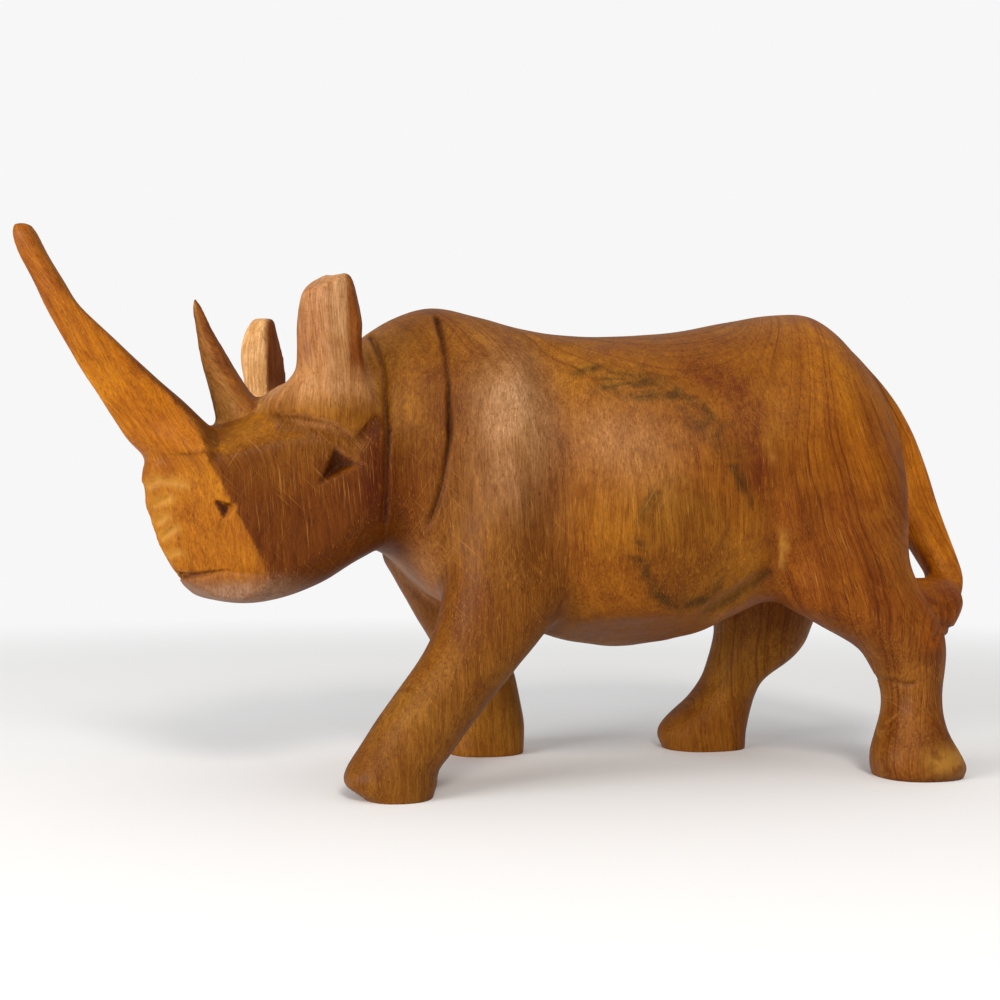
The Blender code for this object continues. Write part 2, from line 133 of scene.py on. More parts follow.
# Legs. Four stout legs left standing under the trunk, in mid stride, with low feet sawn off flat at the
# floor. Each is a stack of rounded sections that leans and swells as the leg does.
def leg(side, rows):
    """A leg stacked upwards from below its sole, its top sunk in the trunk. Rows give front and rear."""
    mirrored = [(level, front, rear, side * middle, half) for level, front, rear, middle, half in rows]
    return stack(mirrored, Z, X, Y, powers=(2.3, 2.3))


def legs():
    near_front = (
        (-6, -37, -24, 31, 9), (0, -40.9, -23.2, 31, 10.6), (3.4, -46, -21.9, 31, 11),
        (6.6, -45.9, -22.1, 31, 11), (10.5, -43.6, -18.5, 30.8, 10.5), (21.3, -36.3, -10.2, 30, 10.5),
        (31.8, -28.4, -1.2, 29, 11.5), (40, -23.2, 6, 27.5, 12.5), (48.5, -20.5, 12.6, 26, 13.5),
        (58.5, -18.8, 16.4, 24.5, 14.5), (74, -19, 14, 22, 15.5), (89, -16, 9, 19.5, 15.5),
        (102, -10, 3, 17, 12))
    far_front = (
        (-6, -10, 11.6, 31, 9.5), (0, -11, 12.7, 31, 10.6), (5, -11, 12.9, 31, 10.5),
        (10.3, -11.4, 12.7, 30.5, 10.5), (23.3, -13.2, 10, 30, 10.5), (32.3, -15.6, 7.2, 29, 11.5),
        (43.3, -22, 8, 27, 12.5), (54.3, -28.4, 12, 25.5, 13.5), (63, -32.4, 14, 24.5, 14.5),
        (77, -28, 13, 22, 15.5), (90, -16, 8, 19, 15), (102, -10, 2, 17, 12))
    near_hind = (
        (-6, 105, 123, 28, 9), (0, 102, 126.3, 28, 10.8), (2.6, 101.2, 127.2, 28.5, 11.5),
        (6.7, 101.2, 125.2, 28.5, 11), (12.2, 103.2, 122.2, 28, 10), (18.2, 105.2, 120.8, 27.5, 9.3),
        (24.2, 105.4, 120.8, 27, 9.5), (30.2, 102.6, 122, 26.5, 10.5), (35.7, 98.6, 122.8, 26, 11.5),
        (42.2, 87, 122.2, 25, 12.5), (49.2, 75.6, 118.4, 24, 13.5), (60, 70.5, 114, 22.5, 14.5),
        (75, 72, 114, 21, 16), (91, 76, 110.5, 19.5, 16.5), (106, 82, 103.5, 17, 14))
    far_hind = (
        (-6, 61, 83, 28, 9.5), (0, 58, 84.4, 28, 10.6), (4, 56.4, 84.8, 28.5, 11),
        (7.3, 57.6, 85.4, 28.5, 11), (11.3, 61.3, 86.1, 28, 10.5), (16.3, 66.8, 87.5, 27.5, 9.8),
        (21.8, 70.9, 90.4, 27, 10), (27.6, 72.8, 99, 26.5, 10.8), (32.8, 74.2, 103.8, 26, 11.5),
        (38.8, 74.8, 106, 25, 12.5), (48.8, 71.5, 109.6, 24, 13.5), (61, 70.5, 112, 22.5, 14.5),
        (75, 72, 113.5, 21, 16), (91, 76, 110.5, 19.5, 16.5), (106, 82, 103.5, 17, 14))
    return [leg(-1.0, near_front), leg(1.0, far_front), leg(-1.0, near_hind), leg(1.0, far_hind)]


# Tail. A flat strap left standing off the rump, with daylight behind its lower end, that turns back
# against the near thigh and ends in a rounded tuft. It is carved from the same block.
def tail():
    strap = (
        (45.2, 129, 136.6, -9, 5), (50.2, 130.6, 140, -6.5, 6), (55.2, 132.4, 141.8, -4, 6),
        (61.2, 129.6, 141.7, -1.5, 5.5), (73.2, 122.8, 137.8, 0, 6), (87.7, 115.2, 132.8, 0, 7),
        (100.2, 108, 127.4, 0, 8), (110.2, 102, 120.6, 0, 9), (119.2, 97, 111.6, 0, 10),
        (126.8, 91, 103, 0, 10))
    tuft = (
        (36.2, 121, 127, -16, 4), (39.2, 116, 130.6, -15.5, 7), (43.2, 113, 133.8, -15, 8.5),
        (47.7, 111.5, 136.4, -13.5, 9), (52, 112.5, 136.4, -11, 8), (54.7, 122.5, 135.4, -8.5, 5))
    return [stack(strap, Z, X, Y, powers=(2.6, 3.0)), stack(tuft, Z, X, Y, powers=(2.4, 2.4))]


# Head. Skull and muzzle, turned to the left of the body. The muzzle is three planes that meet in crisp
# edges: a front and a slanting side each, and the edge between them runs up into the horn.
HEAD_TURN = math.radians(22.0)
NECK_PIVOT = np.array((-28.0, 0.0, -1.0))      # the point in the neck that the head turns about
MUZZLEWARD = np.array((-math.cos(HEAD_TURN), -math.sin(HEAD_TURN), 0.0))
HEAD_LEFT = np.array((math.sin(HEAD_TURN), -math.cos(HEAD_TURN), 0.0))
HORN_LEDGE_HEIGHT = 86.0            # the top of the nose, in front of the horn
HORN_LEDGE_REAR = 61.0              # how far forward it starts


def head_direction(forward, left, height):
    return forward * MUZZLEWARD + left * HEAD_LEFT + height * Z


def head_point(forward, left, height):
    """A point given in the turned head's own directions."""
    return NECK_PIVOT + head_direction(forward, left, height)


def head_places(points):
    """Forward, left and upward distances in the turned head's own directions."""
    offset = points - NECK_PIVOT
    return offset @ MUZZLEWARD, offset @ HEAD_LEFT, offset @ Z


def muzzle_flat(points, side):
    """The front of the muzzle on one side, from the nose back to the edge that comes down off the horn."""
    facing = head_direction(0.723, 0.642 * side, -0.256)
    return plane_off(points, head_point(61.4, 17.4 * side, 84.2), facing)


def cheek_flat(points, side):
    """The side of the muzzle and the cheek, from that edge back to the jowl."""
    facing = head_direction(0.271, 0.961 * side, 0.02)
    return plane_off(points, head_point(30.0, 26.2 * side, 80.0), facing)


def head():
    """Skull and muzzle. Levels run from the neck to the nose, low and high are jaw and brow."""
    rows = (
        (-10, 75, 115, 0, 18), (2, 68.5, 116, 0, 24), (12, 65, 114, 0, 26.6), (22, 60.2, 111, 0, 27.6),
        (32, 54.6, 108, 0, 27), (42, 51.2, 103.5, 0, 25.4), (50, 50.4, 99.5, 0, 23.8),
        (58, 52.2, 95.5, 0, 21.6), (64.4, 57, 92, 0, 18.2), (69.4, 64, 89.5, 0, 13.8),
        (72.8, 71.4, 87, 0, 8.8), (74.4, 77, 81.8, 0, 3.6))
    grid = stack(rows, MUZZLEWARD, Z, HEAD_LEFT, NECK_PIVOT, widest=0.52, powers=(3.4, 2.3))
    forward = head_places(grid)[0]
    on_nose = (forward > HORN_LEDGE_REAR)[..., None]
    grid = np.where(on_nose, plane_off(grid, head_point(0.0, 0.0, HORN_LEDGE_HEIGHT), Z), grid)
    for side in (-1.0, 1.0):
        grid = cheek_flat(muzzle_flat(grid, side), side)
    return grid


# Horns. The long one rises from a narrow ledge on the nose and has a kink near its tip. A crisp edge parts
# its broad front from a rear facet that widens into the cheek. The short one behind is a three-sided spike.
def horns():
    """Low and high are the rear and the front of a section. The long one's rows end in their own shares."""
    long_rows = (
        (80, 50, 62, 0, 12, 0.58), (84.5, 48.5, 70, 0, 16.2, 0.58), (88, 48.6, 73.6, 0, 17.1, 0.57),
        (92, 51.4, 78.1, 0, 15.6, 0.46), (96.5, 57.4, 81.4, 0, 13.5, 0.32), (102, 64, 85, 0, 11.8, 0.27),
        (109, 72.6, 89.7, 0, 9.8, 0.27), (117.5, 82.4, 94.9, 0, 7.8, 0.3), (124, 89.8, 98.6, 0, 6.2, 0.32),
        (130, 93.8, 101.6, 0, 5.2, 0.36), (136, 97.5, 104.8, 0, 4.4, 0.4), (141, 100.1, 106.4, 0, 3.6, 0.5),
        (143.4, 101.8, 106, 0, 1.8, 0.5))
    short_rows = (
        (90, 37, 54.4, 0, 9), (96, 38.6, 55, 0, 8.4), (101.4, 41.6, 56.1, 0, 7.4),
        (107, 46.4, 57.6, 0, 6), (112, 49.9, 59.1, 0, 4.8), (117, 53.2, 60.3, 0, 3.6),
        (122, 56.4, 61.1, 0, 2.5), (127, 59, 62, 0, 1.5), (130, 60.7, 61.9, 0, 0.5))
    long_horn = stack(long_rows, Z, MUZZLEWARD, HEAD_LEFT, NECK_PIVOT, powers=(1.3, 1.35))
    short_horn = stack(short_rows, Z, MUZZLEWARD, HEAD_LEFT, NECK_PIVOT, widest=0.45, powers=(1.2, 1.35))
    return [long_horn, short_horn]


# Ears. Two blunt paddles standing on a crest across the skull, each cut with a few flat strokes that leave
# diamond-shaped facets. The far one shows its lit inner flat between the near ear and the short horn.
NEAR_EAR_FLATS = (
    ((26.0, 24.6, 126.0), (-0.80, 0.55, 0.22)),
    ((31.0, 25.3, 118.0), (0.02, 0.99, 0.10)),
    ((37.4, 23.6, 118.0), (0.55, 0.83, 0.08)),
    ((35.2, 21.0, 133.4), (0.50, 0.40, 0.77)))
FAR_EAR_FLATS = (
    ((37.0, -16.2, 124.0), (0.62, 0.78, 0.05)),
    ((35.0, -15.6, 120.0), (-0.62, 0.78, 0.05)),
    ((34.5, -20.0, 131.0), (0.30, 0.35, 0.88)))


def ear_flats(points, flats):
    """The flats of one ear, one stroke after another."""
    for place, facing in flats:
        points = plane_off(points, head_point(*place), head_direction(*facing))
    return points


def ears():
    near_rows = (
        (90, 27, 31, 18.5, 5), (94, 21.5, 38, 18.2, 9), (98, 18.2, 45, 17.8, 10.5),
        (101.5, 17.6, 47, 17.5, 10.9), (105, 19, 44.6, 17.6, 10.4), (108, 20.4, 42.2, 17.9, 9.6),
        (111, 21.8, 40.4, 18.4, 8.7), (116, 23, 40.4, 19, 7.8), (121, 23.2, 40.8, 19.5, 7.2),
        (126, 23, 40.6, 20, 6.7), (130, 23.2, 39.8, 20.1, 6.2), (133.6, 24.2, 37.6, 20.1, 5.2),
        (136.2, 27, 33.4, 20.1, 2.8))
    far_rows = (
        (90, 27, 31, -18.5, 5), (94, 22.5, 37, -18.2, 8.5), (98, 20, 43, -17.8, 9.6),
        (101.5, 20, 44.2, -17.5, 9.8), (105, 21.6, 42.4, -17.8, 8.8), (108, 24.2, 41, -18.5, 7.2),
        (112, 26, 40.6, -19.6, 6.4), (117, 27.2, 41.2, -20.6, 5.9), (122, 28.8, 41, -21.2, 5.5),
        (127, 30.2, 39.4, -21.6, 5.1), (130.6, 31.2, 37, -21.6, 4.5))
    crest_rows = (
        (-20, 22, 41, 99.5, 8), (-12, 23, 43.5, 99.5, 7.6), (-3, 23, 46, 99, 7.8),
        (10, 21, 46.5, 99.5, 9.6), (20, 19, 46.5, 99.5, 9.5))
    near_ear = stack(near_rows, Z, MUZZLEWARD, HEAD_LEFT, NECK_PIVOT, widest=0.42, powers=(1.9, 1.8))
    far_ear = stack(far_rows, Z, MUZZLEWARD, HEAD_LEFT, NECK_PIVOT, widest=0.6, powers=(1.5, 1.5))
    crest = stack(crest_rows, HEAD_LEFT, MUZZLEWARD, Z, NECK_PIVOT, powers=(2.2, 2.2))
    return [ear_flats(near_ear, NEAR_EAR_FLATS), ear_flats(far_ear, FAR_EAR_FLATS), crest]


# The carved animal. The forms are one solid, so they are made one skin, rasped where they meet, planed flat
# and cut with a knife. The skin is finest at the cuts and the head and coarser on the broad body.
COARSE = 1.0                        # spacing of the skin while it is rasped
FINE = 0.64  # spacing of the skin while it is cut
TRIANGLES = 192000


def closed_mesh(grids, skin=None):
    """One mesh of all the forms, each a closed tube of quads between two end caps, with a skin if given."""
    points = []
    faces = []
    for grid in grids:
        start = sum(len(block) for block in points)
        rings, sides = grid.shape[:2]
        index = start + np.arange(rings * sides).reshape(rings, sides)
        ahead = np.roll(index, -1, axis=1)
        quads = np.stack((index[:-1], ahead[:-1], ahead[1:], index[1:]), axis=-1).reshape(-1, 4)
        faces += quads.tolist()
        faces += [index[0][::-1].tolist(), index[-1].tolist()]
        points.append(grid.reshape(-1, 3))
    if skin:
        start = sum(len(block) for block in points)
        corners = np.empty(len(skin.loops), dtype=int)
        skin.loops.foreach_get("vertex_index", corners)
        faces += (start + corners.reshape(-1, 4)).tolist()
        points.append(get_points(skin))
    mesh = bpy.data.meshes.new("carved_rhinoceros")
    mesh.from_pydata(np.concatenate(points), [], faces)
    mesh.update()
    return mesh


def with_modifier(block, kind, settings):
    """The mesh of an object after one modifier. The object itself is used up."""
    bpy.context.scene.collection.objects.link(block)
    modifier = block.modifiers.new(kind, kind)
    for name, value in settings.items():
        setattr(modifier, name, value)
    graph = bpy.context.evaluated_depsgraph_get()
    result = bpy.data.meshes.new_from_object(block.evaluated_get(graph))
    bpy.data.objects.remove(block)
    return result


def reskinned(mesh, spacing):
    """The outer skin of a mesh, in quads of one size."""
    block = bpy.data.objects.new("block", mesh)
    return with_modifier(block, "REMESH", {"mode": "VOXEL", "voxel_size": spacing})


def get_points(mesh):
    flat = np.empty(len(mesh.vertices) * 3)
    mesh.vertices.foreach_get("co", flat)
    return flat.reshape(-1, 3)


def set_points(mesh, points):
    mesh.vertices.foreach_set("co", points.ravel())
    mesh.update()


def get_normals(mesh):
    flat = np.empty(len(mesh.vertices) * 3)
    mesh.vertex_normals.foreach_get("vector", flat)
    return flat.reshape(-1, 3)


def get_edges(mesh):
    flat = np.empty(len(mesh.edges) * 2, dtype=int)
    mesh.edges.foreach_get("vertices", flat)
    return flat.reshape(-1, 2).T


def towards_neighbours(points, edges):
    """From each point to the middle of its neighbours."""
    first, second = edges
    count = np.bincount(edges.ravel(), minlength=len(points))
    total = np.empty_like(points)
    for axis in range(3):
        column = points[:, axis]
        total[:, axis] = np.bincount(first, column[second], len(points))
        total[:, axis] += np.bincount(second, column[first], len(points))
    return total / count[:, None] - points


def fade(value, zero_at, one_at):
    """A smooth step, 3t^2 - 2t^3: 0 at the first value, 1 at the second."""
    t = np.clip((value - zero_at) / (one_at - zero_at), 0.0, 1.0)
    return t * t * (3.0 - 2.0 * t)


def softness(points):
    """How far hollows are eased: fully on the body, little between ears and horns, at feet and tail."""
    forward, _, height = head_places(points)
    on_head = fade(forward, 14.0, 24.0) * fade(height, 84.0, 94.0)
    at_tail = fade(points[:, 0], 119.0, 125.0) * fade(height, 84.0, 72.0) * fade(height, 44.0, 50.0)
    at_feet = fade(height, 14.0, 6.0)
    return 1.0 - np.maximum.reduce((0.93 * on_head, 0.85 * at_tail, 0.6 * at_feet))


def ease(mesh, rounds, fill, trim):
    """Rasp the skin: hollows rise by the share `fill` towards their neighbours, ridges sink by `trim`."""
    points = get_points(mesh)
    edges = get_edges(mesh)
    soft = softness(points)
    for _ in range(rounds):
        set_points(mesh, points)
        normals = get_normals(mesh)
        pull = towards_neighbours(points, edges)
        lift = np.sum(pull * normals, axis=1)
        share = np.where(lift > 0.0, fill * soft, trim * (0.1 + 0.9 * soft))
        points = points + pull * share[:, None]
    set_points(mesh, points)


def polished(mesh, rounds, share):
    """The skin rubbed down evenly: every point goes a share of the way to the middle of its neighbours."""
    points = get_points(mesh)
    edges = get_edges(mesh)
    for _ in range(rounds):
        points = points + share * towards_neighbours(points, edges)
    set_points(mesh, points)


def plane_flats(mesh):
    """The flats planed after rasping: muzzle, cheeks, ears and the two halves of the belly."""
    points = get_points(mesh)
    forward, left, height = head_places(points)
    at_muzzle = (fade(forward, 36.0, 42.0) * (height < 88.0))[:, None]
    at_belly = fade(points[:, 0], 12.0, 22.0) * fade(points[:, 0], 66.0, 56.0)
    at_belly = (at_belly * fade(height, 26.0, 31.0) * (height < 60.0))[:, None]
    for side in (-1.0, 1.0):
        points += at_muzzle * (muzzle_flat(points, side) - points)
        points += at_muzzle * (cheek_flat(points, side) - points)
        points += at_belly * (belly_flat(points, side) - points)
    for side, rear, flats in ((1.0, 21.0, NEAR_EAR_FLATS), (-1.0, 26.0, FAR_EAR_FLATS)):
        at_ear = (forward > rear) * (forward < 45.0) * (left * side > 12.0)
        at_ear = (at_ear * fade(height, 108.0, 112.0))[:, None]
        points += at_ear * (ear_flats(points, flats) - points)
    set_points(mesh, points)


def along_line(across, height, line):
    """Distance from each place (across, height) to a chain of straight pieces."""
    place = np.stack((across, height), axis=-1)
    nearest = np.full(len(place), np.inf)
    line = np.asarray(line, float)
    for start, end in zip(line[:-1], line[1:]):
        run = end - start
        share = np.clip((place - start) @ run / (run @ run), 0.0, 1.0)
        nearest = np.minimum(nearest, np.linalg.norm(place - start - share[:, None] * run, axis=1))
    return nearest


def groove(across, height, line, half_width, depth):
    """Depth of a V cut along a line: depth times (1 - distance / half width), never below 0."""
    return depth * np.maximum(1.0 - along_line(across, height, line) / half_width, 0.0)


def notch(across, height, corners, depth):
    """Depth of a chip cut out with three strokes: an upside-down pyramid inside three corners."""
    corners = np.asarray(corners, float)
    middle = corners.mean(axis=0)
    place = np.stack((across, height), axis=-1)
    share = np.full(len(place), np.inf)
    for start, end in zip(corners, np.roll(corners, -1, axis=0)):
        inward = np.array((start[1] - end[1], end[0] - start[0]))
        inward = inward * np.sign((middle - start) @ inward)
        share = np.minimum(share, (place - start) @ inward / ((middle - start) @ inward))
    return depth * np.maximum(share, 0.0)


NECK_CUT_WIDTH = 1.25               # half-width and depth of the two cuts round the neck, lines as x and z
NECK_CUT_DEPTH = 1.8
FRONT_NECK_CUT = ((-38.5, 122.0), (-36.0, 111.0), (-35.0, 94.0), (-35.5, 78.0), (-36.0, 66.0))
REAR_NECK_CUT = ((-20.5, 127.0), (-18.7, 108.0), (-19.0, 92.0), (-21.0, 80.0), (-23.8, 71.0), (-27.5, 65.0))
EYE_DEPTH = 3.6                     # eye, nostril, mouth and ear foot are given as forward and height
NOSTRIL_DEPTH = 2.2
MOUTH_DEPTH = 1.3
EYE = ((37.2, 80.4), (32.8, 91.6), (25.2, 86.4))
NOSTRIL = ((61.2, 77.2), (58.2, 71.4), (56.0, 75.4))
MOUTH = ((71.0, 58.6), (64.0, 57.4), (57.0, 58.9), (48.0, 58.0))
SNOUT_WRINKLES = (                  # strokes up the nose: a line as sideways and height, half width, depth
    (((1.6, 80.2), (4.6, 81.8)), 1.3, 0.40), (((6.0, 81.6), (9.6, 80.8)), 0.8, 0.25),
    (((1.8, 75.4), (5.8, 77.4)), 1.0, 0.42), (((1.6, 71.4), (3.6, 72.8)), 1.2, 0.34),
    (((1.8, 67.6), (4.8, 69.8)), 0.8, 0.40), (((1.4, 62.8), (3.4, 63.6)), 1.0, 0.28))
EAR_FOOT = ((22.0, 99.5), (28.0, 93.4), (34.5, 97.2), (39.0, 98.4), (47.0, 99.6))
EAR_STEP = 0.6                      # the depth of the step in below that line, and how far down it runs out
EAR_STEP_REACH = 7.0
# From here on the lines are given as x and z.
LEG_CRACK = ((105.0, 27.9), (107.5, 27.2), (110.0, 27.8))
TUFT_CUTS = (((117.0, 52.0), (128.5, 47.0)), ((121.0, 44.5), (131.5, 40.5)), ((115.5, 39.5), (121.0, 44.5)))
SHOULDER_HOLLOW = ((9.0, 118.0), (7.0, 89.5), (5.1, 60.7))
SHOULDER_SWELL = ((-1.0, 106.0), (-1.5, 76.0))
THIGH_CREASE = ((66.0, 84.0), (68.6, 72.0), (70.0, 60.0), (68.0, 54.0))
GROIN_CREASE = ((69.0, 57.0), (60.3, 50.5), (50.0, 46.0))
THIGH_RIDGE = ((72.8, 79.4), (80.8, 60.5), (84.1, 48.2))
RASP_WAVES = 8
RASP_DEPTH = 0.13                   # how far those waves rise


def swell(across, height, line, half_width, rise):
    """A soft ridge along a line, or a hollow if the rise is negative: rise * exp(-(distance / width)^2)."""
    return rise * np.exp(-(along_line(across, height, line) / half_width) ** 2)


def tool_marks(points):
    """The unevenness that rasp and scraper leave: the mean of a few long, bent sine waves at odd angles."""
    waves = np.zeros(len(points))
    for number in range(1, RASP_WAVES + 1):
        turn = 2.4 * number
        direction = np.array((math.cos(turn), 0.7 * math.sin(turn), 0.6 * math.sin(1.7 * number)))
        bend = 1.3 * np.sin(points[:, 2] * 0.11 + number)
        waves += np.sin(points @ direction * 0.55 + 4.0 * number + bend)
    return waves / RASP_WAVES


def model_flanks(mesh):
    """The soft swells and hollows of shoulder, thigh and groin, and the marks of the rasp."""
    points = get_points(mesh)
    normals = get_normals(mesh)
    x, y, z = points.T
    on_flank = fade(np.abs(y), 14.0, 24.0) * fade(np.abs(normals[:, 1]), 0.2, 0.6)
    rise = swell(x, z, SHOULDER_HOLLOW, 7.5, -1.7) + swell(x, z, SHOULDER_SWELL, 7.0, 1.1)
    crease = swell(x, z, THIGH_CREASE, 3.8, -1.6) * fade(z, 88.0, 62.0)
    rise = rise + np.minimum(crease, swell(x, z, GROIN_CREASE, 2.6, -1.8) * fade(x, 46.0, 58.0))
    rise = rise + swell(x, z, THIGH_RIDGE, 3.5, 0.9) * fade(z, 84.0, 70.0)
    points = points + (rise * on_flank + RASP_DEPTH * tool_marks(points))[:, None] * normals
    set_points(mesh, points)


def undercut(across, height, line, depth, reach):
    """Depth of a step cut in under a line: full just below it, smoothly down to 0 at `reach` below it."""
    drop = np.interp(across, *np.transpose(line)) - height
    first, last = line[0][0], line[-1][0]
    inside = fade(across, first - 1.0, first + 1.0) * fade(across, last + 1.0, last - 1.0)
    return depth * inside * fade(drop, -0.3, 0.7) * fade(drop, reach, 0.7)


def knife_cuts(points):
    """How deep the knife goes at each point: round the neck, eyes, nostrils, mouth, nose and ear feet."""
    forward, left, height = head_places(points)
    outer = np.abs(left)
    beside_neck = np.abs(points[:, 1]) > 9.0
    unevenly = 0.8 + 0.2 * np.sin(0.21 * height)
    neck_depth = NECK_CUT_DEPTH * beside_neck * fade(height, 66.0, 76.0) * unevenly
    cuts = [groove(points[:, 0], points[:, 2], line, NECK_CUT_WIDTH, neck_depth)
            for line in (FRONT_NECK_CUT, REAR_NECK_CUT)]
    cuts.append(notch(forward, height, EYE, EYE_DEPTH) * (outer > 14.0))
    cuts.append(notch(forward, height, NOSTRIL, NOSTRIL_DEPTH) * (outer > 6.0))
    mouth = groove(forward, height, MOUTH, 0.7 + 0.6 * fade(forward, 58.0, 66.0), MOUTH_DEPTH)
    cuts.append(mouth * fade(forward, 46.0, 66.0) * (outer > 0.5) * (height < 62.0))
    for line, half_width, depth in SNOUT_WRINKLES:
        cuts.append(groove(outer, height, line, half_width, depth) * (forward > 62.0))
    cuts.append(undercut(forward, height, EAR_FOOT, EAR_STEP, EAR_STEP_REACH) * fade(outer, 14.0, 18.0))
    cuts.append(groove(points[:, 0], height, LEG_CRACK, 0.8, 0.9) * (points[:, 1] < -20.0))
    for line in TUFT_CUTS:
        cuts.append(groove(points[:, 0], height, line, 1.3, 0.8) * (points[:, 1] < -9.0))
    return np.maximum.reduce(cuts)


def carve(mesh):
    """The knife's work, cut in along the skin's own normals. Returns how deep each point was cut."""
    points = get_points(mesh)
    depth = knife_cuts(points)
    set_points(mesh, points - depth[:, None] * get_normals(mesh))
    return depth


def thinned(mesh, cut_depth):
    """Fewer, larger triangles on the broad body; the smallest stay at the cuts, ears and horns."""
    points = get_points(mesh)
    forward, _, height = head_places(points)
    first, second = get_edges(mesh)
    near_cut = (cut_depth > 0.0).astype(float)
    for _ in range(3):
        spread = np.maximum(near_cut[first], near_cut[second])
        np.maximum.at(near_cut, first, spread)
        np.maximum.at(near_cut, second, spread)
    fine = np.maximum(near_cut, 0.5 * fade(forward, 14.0, 24.0))
    fine = np.round(fine, 1)
    figure = bpy.data.objects.new("thinned", mesh)
    group = figure.vertex_groups.new(name="broad")
    for share in np.unique(fine):
        group.add(np.flatnonzero(fine == share).tolist(), 1.0 - share, "REPLACE")
    triangles = sum(len(face.vertices) - 2 for face in mesh.polygons)
    share_kept = min(TRIANGLES / triangles, 1.0)
    settings = {"ratio": share_kept, "vertex_group": "broad", "vertex_group_factor": 0.3}
    return with_modifier(figure, "DECIMATE", settings)


def soles_cut_flat(mesh):
    """All below floor height is sawn off, which leaves four flat soles."""
    block = bmesh.new()
    block.from_mesh(mesh)
    everything = block.verts[:] + block.edges[:] + block.faces[:]
    cut = bmesh.ops.bisect_plane(block, geom=everything, dist=1e-5, plane_co=(0, 0, 0), plane_no=(0, 0, 1),
                                 clear_inner=True)
    rim = [item for item in cut["geom_cut"] if isinstance(item, bmesh.types.BMEdge)]
    bmesh.ops.holes_fill(block, edges=rim)
    bmesh.ops.triangulate(block, faces=block.faces[:])
    bmesh.ops.recalc_face_normals(block, faces=block.faces[:])
    block.to_mesh(mesh)
    block.free()


PLAIN_WOOD = (0.240, 0.082, 0.004)              # the colour where nothing below changes it
LOOP = ((43.5, 65.5), (13.3, 17.0))             # a stain on the near flank: middle and half axes, x and z
STAIN_LINES = (                     # the stains and pale chips below are chains of points on it, x and z
    ((20.4, 106.7), (27.1, 105.7), (35.1, 104.6), (40.4, 103.6), (47.8, 96.7), (56.9, 84.6), (61.1, 76.6)),
    ((22.2, 109.6), (33.0, 108.4), (39.7, 107.6), (46.1, 104.2), (53.0, 96.0), (58.0, 86.0)),
    ((16.0, 112.4), (26.0, 112.0), (35.0, 110.6), (44.0, 107.4)))
PLUM_LINE = ((50.0, 112.0), (58.0, 109.0), (62.5, 101.0), (62.0, 92.0), (64.0, 82.0))
RAW_LINES = (((70.8, 68.6), (72.0, 62.0), (72.4, 58.5)), ((67.0, 94.3), (68.6, 86.9)))


def keep(mesh, name, values):
    """Values stored with the points of the skin: one number, or three, to a point."""
    if values.ndim == 1:
        mesh.attributes.new(name, "FLOAT", "POINT").data.foreach_set("value", values)
    else:
        mesh.attributes.new(name, "FLOAT_VECTOR", "POINT").data.foreach_set("vector", values.ravel())


def grain_places(points):
    """Where each point lies in the block, once the fibres that lean on rump and horn are made straight."""
    x, y, z = points.T
    forward, _, height = head_places(points)
    down_rump = 0.46 * fade(x, 56.0, 104.0) * np.maximum(z - 48.0, 0.0)
    up_horn = 0.55 * fade(forward, 40.0, 62.0) * np.maximum(height - 84.0, 0.0)
    return np.column_stack((x + down_rump + up_horn, y, z))


